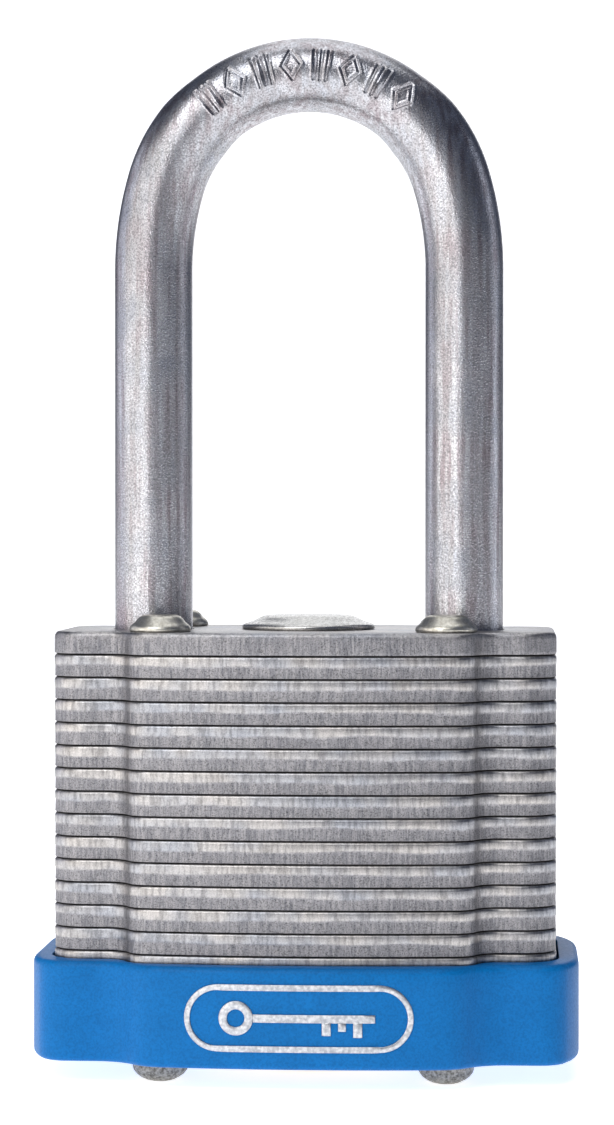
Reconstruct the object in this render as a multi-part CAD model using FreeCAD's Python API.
"""Laminated steel padlock with a long shackle: 18 blanked plates riveted into a body, a moulded
bumper under it, a five-pin cylinder, a cam and two sprung bolts that engage both legs of the shackle.

Millimetres, +Z up, X along the width, -Y to the front. The origin is under the centre of the body,
on the plane that the four lower rivet heads stand on. The mechanism is drawn unlatched: plug turned
to open, bolts drawn in.
"""
import FreeCAD
import Part
import math
import os

V = FreeCAD.Vector
UP = V(0, 0, 1)

# driving dimensions
# plate stack
plate_count = 18
plate_t = 2.0
plate_w = 44.4              # over the two end lobes
plate_d = 24.2              # through the middle
lobe_in = 3.45              # how far a lobe's face stands behind the middle's
face_r = 113.0              # bow of the front and back faces
step_x0 = 13.5              # where the flank between middle and lobe begins and ends
step_x1 = 17.2
lobe_corner_r = 3.0
die_roll = 0.22             # rounded upper edge that blanking leaves
lower_break = 0.06          # break on the lower edge

# bumper
bumper_gap = 0.25           # room between the plates and the bumper's wall
bumper_wall = 1.75
bumper_floor = 1.5
bumper_h = 8.8
bumper_ease0 = 1.5          # how much sooner and later than the plates' its flanks begin and end
bumper_ease1 = 0.8
bumper_corner_r = 2.8       # its lobes turn in two arcs, a tight one in front and a wide one at the side
bumper_side_r = 11.0
bumper_side_deg = 25.0
bumper_top_r = 0.6
bumper_bottom_r = 0.5
bumper_window_w = 17.0
bumper_window_d = 18.0
bumper_window_r = 4.0
badge_w = 19.8
badge_h = 5.8
badge_line = 0.55
badge_up = 0.1              # its centre above the middle of the bumper
badge_raise = 0.15
badge_sink = 0.3            # how far the badge reaches into the bumper wall

# rivets
rivet_x = 12.55
rivet_in_y = 4.1            # from the plates' faces to the rivets' axes
rivet_r = 1.9
rivet_fit = 0.05
foot_r = 2.45
foot_h = 1.9
foot_side_h = 0.85          # upright part of the lower head
foot_round_r = 2.1          # where its round side meets the flat that it stands on
foot_round_h = 0.55
foot_flat_r = 1.35
head_r = 2.72
head_h = 1.6
head_rim_h = 0.35
head_shoulder_r = 2.25
head_shoulder_h = 1.15
head_top_r = 1.2

# shackle
bar_d = 7.0
leg_x = 14.0                # half the distance between the legs' centrelines
leg_fit = 0.15              # radial room in the guide holes
clear_h = 46.3              # from the top plate to the inside of the bow
shoulder_r = 27.7           # centreline radii of the bow: an arc above each leg and one over the crown
crown_r = 13.4
shackle_lift = 13.0
leg_end_break = 0.4         # chamfer round the legs' ends
toe_tip = 2.15              # length of the toe below its notch
toe_bevel = 1.2             # on its inside, to push its bolt aside as it enters
notch_fit = 0.15
neck_fit = 0.1              # between the long leg's neck and its locked bolt
heel_collar = 1.8           # long leg's end below its ring
ring_t = 0.9
ring_bite = 0.6             # depth of its groove
ring_lip = 0.9              # how far it stands out of the leg
ring_fit = 0.04
ring_gap_w = 2.4
ring_side_fit = 0.2         # room round the ring in the long leg's bore

# locking bolts and cam
guide_plates = 3            # plates above the bolts, the top plate among them
bolt_plates = 2
bolt_bite = 1.8             # how far a locked bolt reaches into its leg
bolt_clear = 0.3            # how far a drawn bolt stands clear of it
bolt_fit = 0.15
bolt_w = 6.0
bridge_w = 1.5              # from a bolt's head to its tail
tail_w = 1.5
tail_fit = 0.15             # between a tail and the turning cam
hook_t = 1.7
hook_reach_y = 3.2
hook_gap = 0.25             # between a drawn bolt's hook and the other bolt's head
cam_low = 2.2               # cam's reach when locked
cam_fit = 0.05
cam_head_room = 0.45
cam_curve_steps = 8
tang_w = 2.2
tang_fit = 0.03
bolt_spring_d = 1.4
bolt_spring_wire = 0.24
bolt_spring_turns = 7

# cylinder
plug_r = 4.0
plug_fit = 0.04
plug_lip = 0.6              # how far the plug's head stands out past its barrel
plug_head_fit = 0.12
shell_wall = 1.6
shell_fit = 0.05
shell_end_fit = 0.1
clip_t = 0.7
clip_bite = 0.7
clip_lip = 0.9
clip_mouth = 4.6
keyway_w = 2.0
keyway_top = 1.9            # how far the keyway reaches past the plug's centre
keyway_end = 1.0            # solid plug left beyond the keyway
ward_w = 0.8
ward_h = 0.9
ward_right_y = -2.4
ward_left_y = -0.9
pin_count = 5
pin_pitch = 3.6
pin_first = 4.2             # from the shell's lower end to the first pin
pin_r = 1.25
pin_fit = 0.04
pin_cone = 0.7
pin_point_r = 0.44
pin_gap = 0.06              # from the shear line to a pin's end
pin_bore_in = 1.2           # how far the plug's pin bores reach into its keyway
key_pin_lengths = (3.1, 2.5, 3.4, 2.8, 2.3)
driver_l = 2.6
driver_land = 0.8           # full-width ends of the spool
driver_waist_r = 0.9
driver_taper = 0.2
tower_wall = 1.4
pin_spring_l = 2.3
pin_spring_in = 0.2         # how far a pin spring stands inside its bore's wall
pin_spring_wire = 0.34
pin_spring_turns = 3
cover_t = 0.6

# shackle spring and top cap
heel_spring_over = 0.3      # how far the spring stands out past the leg's side
heel_spring_wire = 0.8
heel_spring_turns = 6
spring_gap = 0.05           # air between a spring and what it bears on
cap_r = 6.0
cap_h = 1.35
cap_rim_h = 0.4
cap_shoulder_r = 5.6
cap_shoulder_h = 0.84
cap_top_r = 4.1
cap_top_h = 1.27
cap_spigot_r = 4.5
cap_spigot_l = 1.7
cap_fit = 0.02

# sizes and places worked out from them
half_w = plate_w / 2
half_d = plate_d / 2
half_lobe = half_d - lobe_in
rivet_y = half_d - rivet_in_y
bar_r = bar_d / 2
leg_hole_r = bar_r + leg_fit

bumper_z = foot_h
stack_z = bumper_z + bumper_floor
top_z = stack_z + plate_count * plate_t
bolt_z = top_z - (guide_plates + bolt_plates) * plate_t       # floor of the bolt chamber
bolt_top_z = bolt_z + bolt_plates * plate_t

bolt_travel = bolt_bite + bolt_clear
bolt_nose_x = leg_x - bar_r + bolt_bite                       # a locked bolt's reach
hook_x = cam_low + cam_fit                                    # a locked bolt's hook
head_back_x = hook_x + hook_t + 2 * bolt_travel + hook_gap
bridge_x = head_back_x + bridge_w
cam_rate = bolt_travel / (math.pi / 2)                        # bolt travel for each radian of the plug
tail_in_y = math.hypot(cam_low + bolt_travel, cam_rate) + tail_fit
tail_out_y = tail_in_y + tail_w
cam_z = bolt_z + bolt_fit
cam_top_z = bolt_top_z - cam_head_room

notch_x = bolt_nose_x + notch_fit
notch_z0 = bolt_z - notch_fit
notch_z1 = bolt_top_z + notch_fit
neck_r = leg_x - bolt_nose_x - neck_fit
neck_z0 = notch_z0 - shackle_lift
neck_z1 = notch_z1 - shackle_lift
ring_z = neck_z0 - ring_t - ring_fit
ring_groove_r = bar_r - ring_bite
ring_out_r = bar_r + ring_lip
heel_bore_r = ring_out_r + ring_side_fit
heel_end_z = ring_z - ring_fit - heel_collar
toe_end_z = notch_z0 - toe_tip
spring_seat_z = stack_z + plate_t

# plates below the bolts; the highest of them parts the bolts from the cylinder
cylinder_plates = plate_count - guide_plates - bolt_plates
# plates under the bolts that the toe reaches into
toe_plates = math.ceil((bolt_z - toe_end_z) / plate_t)
shell_z = stack_z + plate_t
shell_l = (cylinder_plates - 2) * plate_t - shell_end_fit
shell_r = plug_r + shell_wall
plug_head_r = plug_r + plug_lip
clip_z = shell_z + shell_l
clip_groove_r = plug_r - clip_bite
clip_out_r = plug_r + clip_lip
pin_bore_r = pin_r + pin_fit
pin_spring_r = pin_bore_r - pin_spring_in
key_pin_y = plug_r - pin_gap                                  # outer ends of the key pins
driver_y = plug_r + plug_fit + pin_gap                        # inner ends of the driver pins
pin_spring_y = driver_y + driver_l + spring_gap
tower_top_y = pin_spring_y + pin_spring_l + spring_gap + cover_t
tower_w = 2 * (pin_bore_r + tower_wall)
pin_heights = [shell_z + pin_first + i * pin_pitch for i in range(pin_count)]


def moved(shape, x=0.0, y=0.0, z=0.0):
    shape = shape.copy()
    shape.translate(V(x, y, z))
    return shape


def turned(shape, degrees):
    shape = shape.copy()
    shape.rotate(V(0, 0, 0), UP, degrees)
    return shape


def mirrored(shape, normal):
    return shape.mirror(V(0, 0, 0), normal)


def box(x0, x1, y0, y1, z0, z1):
    return Part.makeBox(x1 - x0, y1 - y0, z1 - z0, V(x0, y0, z0))


def rod(r, z0, z1, x=0.0, y=0.0):
    return Part.makeCylinder(r, z1 - z0, V(x, y, z0))


def turning(profile, x=0.0, y=0.0):
    """Solid of revolution about a vertical axis from (radius, height) points."""
    wire = Part.makePolygon([V(r, 0, z) for r, z in profile] + [V(profile[0][0], 0, profile[0][1])])
    return moved(Part.Face(wire).revolve(V(0, 0, 0), UP, 360), x, y)


def line(a, b):
    return Part.LineSegment(a, b).toShape()


def outline(w, d, lobe, x0, x1, corner_r, side_r=0.0, side_deg=0.0, grow=0.0):
    """Plan of a plate or the bumper from half sizes, offset by `grow`.

    A quarter is walked clockwise from the middle of the back: the bowed face, two arcs that make the
    flank, the lobe's face, its corner in one or two arcs, and its side.
    """
    bow = math.asin(x0 / face_r)
    dx, dy = x1 - x0, d - face_r * (1 - math.cos(bow)) - lobe
    reach = (dx * (1 + math.cos(bow)) + dy * math.sin(bow)) / (2 * math.hypot(dx, dy))
    flank = math.pi - math.asin(reach) - math.atan2(dx, dy)
    step_r = dx / (2 * math.sin(flank) - math.sin(bow))
    side = math.radians(side_deg)
    face_run = w - x1 - corner_r * math.cos(side) - side_r * (1 - math.cos(side))
    side_run = lobe - corner_r * (1 - math.sin(side)) - side_r * math.sin(side)
    walk = [(face_r + grow, bow), (step_r + grow, flank - bow), (-step_r + grow, -flank), (0, face_run),
            (corner_r + grow, math.pi / 2 - side), (side_r + grow, side), (0, side_run)]
    at, heading, quarter = V(0, d + grow, 0), 0.0, []
    for r, amount in walk:
        if abs(amount) < 1e-9:
            continue
        if r == 0:
            end = at + V(math.cos(heading), math.sin(heading), 0) * amount
            quarter.append(line(at, end))
        else:
            centre = at + V(math.sin(heading), -math.cos(heading), 0) * r
            halfway = heading - amount / 2
            heading -= amount
            middle = centre + V(-math.sin(halfway), math.cos(halfway), 0) * r
            end = centre + V(-math.sin(heading), math.cos(heading), 0) * r
            quarter.append(Part.Arc(at, middle, end).toShape())
        at = end
    half = quarter + [mirrored(e, V(0, 1, 0)) for e in quarter]
    edges = half + [mirrored(e, V(1, 0, 0)) for e in half]
    return Part.Wire(Part.__sortEdges__(edges))


def plate_plan(grow=0.0):
    return outline(half_w, half_d, half_lobe, step_x0, step_x1, lobe_corner_r, grow=grow)


def bumper_plan(grow=0.0):
    out = bumper_gap + bumper_wall
    x0, x1 = step_x0 - bumper_ease0, step_x1 + bumper_ease1
    return outline(half_w + out, half_d + out, half_lobe + out, x0, x1, bumper_corner_r, bumper_side_r,
                   bumper_side_deg, grow)


def prism(wire, z0, z1):
    face = Part.Face(wire)
    return moved(face.extrude(V(0, 0, z1 - z0)), 0, 0, z0)


def edges_at(shape, z):
    """Edges that lie in a horizontal plane."""
    return [e for e in shape.Edges if abs(e.BoundBox.ZMin - z) < 1e-6 and abs(e.BoundBox.ZMax - z) < 1e-6]


def rounded_box(w, d, r, z0, z1):
    """Upright prism with a rounded rectangle for its plan, centred on the axis."""
    solid = box(-w / 2, w / 2, -d / 2, d / 2, z0, z1)
    upright = [e for e in solid.Edges if e.BoundBox.ZLength > (z1 - z0) / 2]
    return solid.makeFillet(r, upright)


def stadium(w, h, y0, y1, z):
    """Upright slab, rounded at both ends, that faces the front."""
    r = h / 2
    ends = [Part.makeCylinder(r, y1 - y0, V(x, y0, z), V(0, 1, 0)) for x in (-w / 2 + r, w / 2 - r)]
    return box(-w / 2 + r, w / 2 - r, y0, y1, z - r, z + r).fuse(ends).removeSplitter()


def coil(outer_r, wire_d, length, turns):
    """Compression spring along Z from z=0, with plain ends."""
    rise = length - wire_d
    r = outer_r - wire_d / 2
    helix = Part.makeHelix(rise / turns, rise, r)
    start = V(r, 0, 0)
    section = Part.Wire(Part.Circle(start, V(0, 1, 0), wire_d / 2).toShape())
    solid = Part.Wire(helix.Edges).makePipeShell([section], True, True)
    return moved(solid, 0, 0, wire_d / 2)


def along_x(shape):
    shape = shape.copy()
    shape.rotate(V(0, 0, 0), V(0, 1, 0), 90)
    return shape


def along_y(shape):
    shape = shape.copy()
    shape.rotate(V(0, 0, 0), V(1, 0, 0), -90)
    return shape


# plates
def plate_blank(z):
    """A plate before its holes: rolled upper edge, broken lower edge."""
    solid = prism(plate_plan(), z, z + plate_t)
    solid = solid.makeFillet(die_roll, edges_at(solid, z + plate_t))
    return solid.makeChamfer(lower_break, edges_at(solid, z))


def bolt_chamber(z0, z1):
    """Room for the bolts, their springs and the cam."""
    reach_x, reach_y = bridge_x + bolt_fit, tail_out_y + bolt_fit
    room = box(-reach_x, reach_x, -reach_y, reach_y, z0, z1)
    channel = box(-leg_x, leg_x, -bolt_w / 2 - bolt_fit, bolt_w / 2 + bolt_fit, z0, z1)
    return room.fuse(channel)


def shell_plan(grow, z0, z1):
    """The cylinder shell's plan: a round barrel with a tower for the pins behind it."""
    tower = box(-tower_w / 2 - grow, tower_w / 2 + grow, 0, tower_top_y + grow, z0, z1)
    return rod(shell_r + grow, z0, z1).fuse(tower).removeSplitter()


def plate_cuts(index, z0, z1):
    """What is punched out of plate `index`, counted from the bottom."""
    over = 0.5
    a, b = z0 - over, z1 + over
    cuts = [rod(rivet_r + rivet_fit, a, b, sx * rivet_x, sy * rivet_y) for sx in (-1, 1) for sy in (-1, 1)]
    above_bolts = index >= cylinder_plates + bolt_plates
    at_bolts = cylinder_plates <= index < cylinder_plates + bolt_plates
    if index == 0:
        cuts.append(rod(plug_head_r + plug_head_fit, a, b))
        return cuts
    if above_bolts or at_bolts:
        cuts += [rod(leg_hole_r, a, b, sx * leg_x) for sx in (-1, 1)]
    if at_bolts:
        cuts.append(bolt_chamber(a, b))
    if not above_bolts and not at_bolts:
        cuts.append(rod(heel_bore_r, a, b, -leg_x))
        if index == cylinder_plates - 1:
            cuts.append(rod(clip_out_r + plug_head_fit, a, b))
        else:
            cuts.append(shell_plan(shell_fit, a, b))
        if index >= cylinder_plates - toe_plates:
            cuts.append(rod(leg_hole_r, a, b, leg_x))
    if index == plate_count - 1:
        cuts.append(rod(cap_spigot_r + cap_fit, a, b))
    return cuts


def plate(index):
    z0 = stack_z + index * plate_t
    solid = plate_blank(z0)
    for tool in plate_cuts(index, z0, z0 + plate_t):
        solid = solid.cut(tool)
    return solid


# bumper, rivets, cap
def bumper():
    z1 = bumper_z + bumper_h
    outer = prism(bumper_plan(), bumper_z, z1)
    outer = outer.makeFillet(bumper_top_r, edges_at(outer, z1))
    outer = outer.makeFillet(bumper_bottom_r, edges_at(outer, bumper_z))
    solid = outer.cut(prism(plate_plan(bumper_gap), stack_z, z1 + 1))
    window = rounded_box(bumper_window_w, bumper_window_d, bumper_window_r, bumper_z - 1, stack_z + 1)
    solid = solid.cut(window)
    for sx in (-1, 1):
        for sy in (-1, 1):
            solid = solid.cut(rod(rivet_r + rivet_fit, bumper_z - 1, stack_z + 1, sx * rivet_x, sy * rivet_y))
    return solid.cut(badge_ring())


def badge_ring():
    """Raised oval frame on the bumper's front, let into its bowed wall."""
    deep = bumper_wall * 2
    front = half_d + bumper_gap + bumper_wall
    z = bumper_z + bumper_h / 2 + badge_up
    y0, y1 = -front - deep, -front + deep
    ring = stadium(badge_w, badge_h, y0, y1, z)
    ring = ring.cut(stadium(badge_w - 2 * badge_line, badge_h - 2 * badge_line, y0, y1, z))
    z0, z1 = z - badge_h, z + badge_h
    skin = prism(bumper_plan(badge_raise), z0, z1).cut(prism(bumper_plan(-badge_sink), z0, z1))
    return ring.common(skin)


def rivet(sx, sy):
    """Factory head below the bumper, shank through the stack, upset head on the top plate."""
    foot = [(0, 0), (foot_flat_r, 0), (foot_round_r, foot_round_h), (foot_r, foot_h - foot_side_h),
            (foot_r, foot_h)]
    shank = [(rivet_r, foot_h), (rivet_r, top_z)]
    head = [(head_r, 0), (head_r, head_rim_h), (head_shoulder_r, head_shoulder_h), (head_top_r, head_h),
            (0, head_h)]
    profile = foot + shank + [(r, top_z + z) for r, z in head]
    return turning(profile, sx * rivet_x, sy * rivet_y)


def rivets():
    return Part.makeCompound([rivet(sx, sy) for sx in (-1, 1) for sy in (-1, 1)])


def top_cap():
    """Domed plug that closes the assembly hole in the top plate."""
    profile = [
        (0, -cap_spigot_l), (cap_spigot_r, -cap_spigot_l), (cap_spigot_r, 0), (cap_r, 0), (cap_r, cap_rim_h),
        (cap_shoulder_r, cap_shoulder_h), (cap_top_r, cap_top_h), (0, cap_h),
    ]
    return moved(turning(profile), 0, 0, top_z)


# shackle
def bow():
    """Where the bow starts, where its crown arc is centred, and the angle each shoulder arc turns through."""
    turn = math.acos((shoulder_r - leg_x) / (shoulder_r - crown_r))
    crown_z = top_z + clear_h + bar_r - crown_r
    return crown_z - (shoulder_r - crown_r) * math.sin(turn), crown_z, math.degrees(turn)


def shackle():
    start_z, crown_z, shoulder_turn = bow()

    def at(cx, cz, r, degrees):
        a = math.radians(degrees)
        return V(cx + r * math.cos(a), 0, cz + r * math.sin(a))

    def bend(cx, cz, r, a0, a1):
        return Part.Arc(at(cx, cz, r, a0), at(cx, cz, r, (a0 + a1) / 2), at(cx, cz, r, a1)).toShape()

    left_c, right_c = -leg_x + shoulder_r, leg_x - shoulder_r
    path = Part.Wire([
        line(V(-leg_x, 0, heel_end_z), V(-leg_x, 0, start_z)),
        bend(left_c, start_z, shoulder_r, 180, 180 - shoulder_turn),
        bend(0, crown_z, crown_r, 180 - shoulder_turn, shoulder_turn),
        bend(right_c, start_z, shoulder_r, shoulder_turn, 0),
        line(V(leg_x, 0, start_z), V(leg_x, 0, toe_end_z)),
    ])
    section = Part.Wire(Part.Circle(V(-leg_x, 0, heel_end_z), UP, bar_r).toShape())
    solid = path.makePipeShell([section], True, True)
    solid = solid.makeChamfer(leg_end_break, edges_at(solid, heel_end_z) + edges_at(solid, toe_end_z))
    # a notch for a bolt on the inside of each leg
    for sx in (-1, 1):
        x0, x1 = sorted((sx * (leg_x - bar_d), sx * notch_x))
        solid = solid.cut(box(x0, x1, -bar_d, bar_d, notch_z0, notch_z1))
    # neck and ring groove of the long leg
    solid = solid.cut(sleeve(neck_r, neck_z0, neck_z1))
    solid = solid.cut(sleeve(ring_groove_r, ring_z - ring_fit, neck_z0))
    # bevel on the inside of the toe
    inside = leg_x - bar_r
    corners = [V(inside, 0, toe_end_z), V(inside + toe_bevel, 0, toe_end_z),
               V(inside, 0, toe_end_z + toe_bevel)]
    bevel = Part.Face(Part.makePolygon(corners + corners[:1])).extrude(V(0, 2 * bar_d, 0))
    return solid.cut(moved(bevel, 0, -bar_d))


def sleeve(r, z0, z1):
    """What is turned off the long leg to leave it with radius r."""
    return rod(bar_d, z0, z1, -leg_x).cut(rod(r, z0 - 1, z1 + 1, -leg_x))


def heel_ring():
    """Split ring on the long leg that stops the shackle against the bolt plates."""
    ring = rod(ring_out_r, ring_z, ring_z + ring_t, -leg_x)
    ring = ring.cut(rod(ring_groove_r + ring_fit, ring_z - 1, ring_z + ring_t + 1, -leg_x))
    half_gap = ring_gap_w / 2
    return ring.cut(box(-leg_x - ring_out_r - 1, -leg_x, -half_gap, half_gap, ring_z - 1, ring_z + ring_t + 1))


def shackle_spring():
    length = heel_end_z - spring_seat_z - 2 * spring_gap
    spring = coil(bar_r + heel_spring_over, heel_spring_wire, length, heel_spring_turns)
    return moved(spring, -leg_x, 0, spring_seat_z + spring_gap)


# bolts and cam
def bolt_locked():
    """The bolt of the long leg in its locked place: nose, bridge, tail past the cam and a hook behind it."""
    z0, z1 = bolt_z + bolt_fit, bolt_top_z - bolt_fit
    back_x = hook_x + hook_t
    solid = box(-bolt_nose_x, -head_back_x, -bolt_w / 2, bolt_w / 2, z0, z1)
    solid = solid.fuse(box(-bridge_x, -head_back_x, 0, tail_out_y, z0, z1))
    solid = solid.fuse(box(-bridge_x, back_x, tail_in_y, tail_out_y, z0, z1))
    solid = solid.fuse(box(hook_x, back_x, -hook_reach_y, tail_out_y, z0, z1))
    return solid.removeSplitter()


def heel_bolt():
    return moved(bolt_locked(), bolt_travel)


def toe_bolt():
    return turned(heel_bolt(), 180)


def heel_bolt_spring():
    """From the end of the heel bolt's tail to the chamber's far wall."""
    x0 = hook_x + hook_t + bolt_travel + spring_gap
    x1 = bridge_x + bolt_fit - spring_gap
    spring = along_x(coil(bolt_spring_d / 2, bolt_spring_wire, x1 - x0, bolt_spring_turns))
    return moved(spring, x0, tail_in_y + tail_w / 2, (bolt_z + bolt_top_z) / 2)


def cam_plan():
    """Outline whose reach grows evenly with the angle, so the flat hooks move evenly with the plug."""
    flank = []
    for i in range(cam_curve_steps + 1):
        a = -math.pi / 2 * (1 - i / cam_curve_steps)
        reach = cam_low - cam_rate * a
        along, across = V(math.cos(a), math.sin(a), 0), V(math.sin(a), -math.cos(a), 0)
        flank.append(along * reach + across * cam_rate)
    curve = Part.BSplineCurve()
    curve.interpolate(flank)
    first = curve.toShape()
    second = turned(first, 180)
    closing = [line(flank[-1], -flank[0]), line(-flank[-1], flank[0])]
    return Part.Wire(Part.__sortEdges__([first, second] + closing))


def cam():
    solid = prism(cam_plan(), cam_z, cam_top_z)
    hole = tang_w / 2 + tang_fit
    solid = solid.cut(box(-hole, hole, -hole, hole, cam_z - 1, cam_top_z + 1))
    return turned(solid, 90)


# cylinder
def shell():
    """Fixed barrel of the cylinder with the driver pins' chambers in its tower."""
    z0, z1 = shell_z - 1, shell_z + shell_l + 1
    solid = shell_plan(0, shell_z, shell_z + shell_l)
    solid = solid.cut(rod(plug_r + plug_fit, z0, z1))
    for z in pin_heights:
        solid = solid.cut(Part.makeCylinder(pin_bore_r, tower_top_y, V(0, 0, z), V(0, 1, 0)))
    return solid.cut(box(-tower_w, tower_w, tower_top_y - cover_t, tower_top_y + 1, z0, z1))


def tower_cover():
    """Strip that closes the pin chambers."""
    return box(-tower_w / 2, tower_w / 2, tower_top_y - cover_t, tower_top_y, shell_z, shell_z + shell_l)


def plug_locked():
    """The plug with its keyway towards the pins, as it stands when locked."""
    groove_z1 = clip_z + clip_t + 2 * ring_fit
    solid = rod(plug_head_r, stack_z, shell_z - plug_fit)
    solid = solid.fuse(rod(plug_r, shell_z - plug_fit, clip_z))
    solid = solid.fuse(rod(clip_groove_r, clip_z, groove_z1))
    solid = solid.fuse(rod(plug_r, groove_z1, bolt_z))
    half = tang_w / 2
    solid = solid.fuse(box(-half, half, -half, half, bolt_z, cam_top_z))
    side, slot_z1 = keyway_w / 2, shell_z + shell_l - keyway_end
    solid = solid.cut(box(-side, side, -plug_head_r, keyway_top, stack_z - 1, slot_z1))
    # a ward narrows the keyway from each side
    for x0, x1, y in ((side - ward_w, side, ward_right_y), (-side, ward_w - side, ward_left_y)):
        solid = solid.fuse(box(x0, x1, y, y + ward_h, stack_z, slot_z1))
    for z in pin_heights:
        bore = Part.makeCylinder(pin_bore_r, plug_r, V(0, keyway_top - pin_bore_in, z), V(0, 1, 0))
        solid = solid.cut(bore)
    return solid.removeSplitter()


def plug():
    return turned(plug_locked(), 90)


def plug_clip():
    """Open clip in the plug's groove, against the inner end of the shell."""
    z0, z1 = clip_z + ring_fit, clip_z + ring_fit + clip_t
    clip = rod(clip_out_r, z0, z1).cut(rod(clip_groove_r + ring_fit, z0 - 1, z1 + 1))
    mouth = box(-clip_mouth / 2, clip_mouth / 2, -clip_out_r - 1, 0, z0 - 1, z1 + 1)
    return turned(clip.cut(mouth), 90)


def key_pin(i):
    """Pointed pin in the plug, its outer end rounded to the shear line."""
    z, length = pin_heights[i], key_pin_lengths[i]
    profile = [(0, 0), (pin_point_r, 0), (pin_r, pin_cone), (pin_r, length), (0, length)]
    pin = moved(along_y(turning(profile)), 0, key_pin_y - length, z)
    return turned(pin.common(rod(key_pin_y, z - bar_r, z + bar_r)), 90)


def driver_pin(i):
    """Spool-shaped pin in the tower that stands on the plug."""
    waist_z0, waist_z1 = driver_land + driver_taper, driver_l - driver_land - driver_taper
    profile = [(0, 0), (pin_r, 0), (pin_r, driver_land), (driver_waist_r, waist_z0),
               (driver_waist_r, waist_z1), (pin_r, driver_l - driver_land), (pin_r, driver_l), (0, driver_l)]
    return moved(along_y(turning(profile)), 0, driver_y, pin_heights[i])


def pin_spring(i):
    spring = coil(pin_spring_r, pin_spring_wire, pin_spring_l, pin_spring_turns)
    return moved(along_y(spring), 0, pin_spring_y, pin_heights[i])


# the assembly
def assembly():
    nodes = {}
    for i in range(plate_count):
        nodes["plate_%02d" % (i + 1)] = plate(i)
    nodes["bumper"] = bumper()
    nodes["badge_frame"] = badge_ring()
    nodes["rivets"] = rivets()
    nodes["top_cap"] = top_cap()
    nodes["shackle"] = shackle()
    nodes["heel_ring"] = heel_ring()
    nodes["shackle_spring"] = shackle_spring()
    nodes["heel_bolt"] = heel_bolt()
    nodes["toe_bolt"] = toe_bolt()
    nodes["heel_bolt_spring"] = heel_bolt_spring()
    nodes["toe_bolt_spring"] = turned(heel_bolt_spring(), 180)
    nodes["cam"] = cam()
    nodes["cylinder_shell"] = shell()
    nodes["tower_cover"] = tower_cover()
    nodes["plug"] = plug()
    nodes["plug_clip"] = plug_clip()
    for i in range(pin_count):
        nodes["key_pin_%d" % (i + 1)] = key_pin(i)
        nodes["driver_pin_%d" % (i + 1)] = driver_pin(i)
        nodes["pin_spring_%d" % (i + 1)] = pin_spring(i)
    return nodes


os.makedirs("parts", exist_ok=True)
for name, shape in assembly().items():
    solids = shape.Solids
    bad = [s for s in solids if not s.isValid() or s.Volume <= 0]
    if not solids or bad:
        raise ValueError("%s is not made of valid solids" % name)
    shape.exportStep("parts/%s.step" % name)
    print("%-18s %d solid(s) %9.2f mm3" % (name, len(solids), shape.Volume))
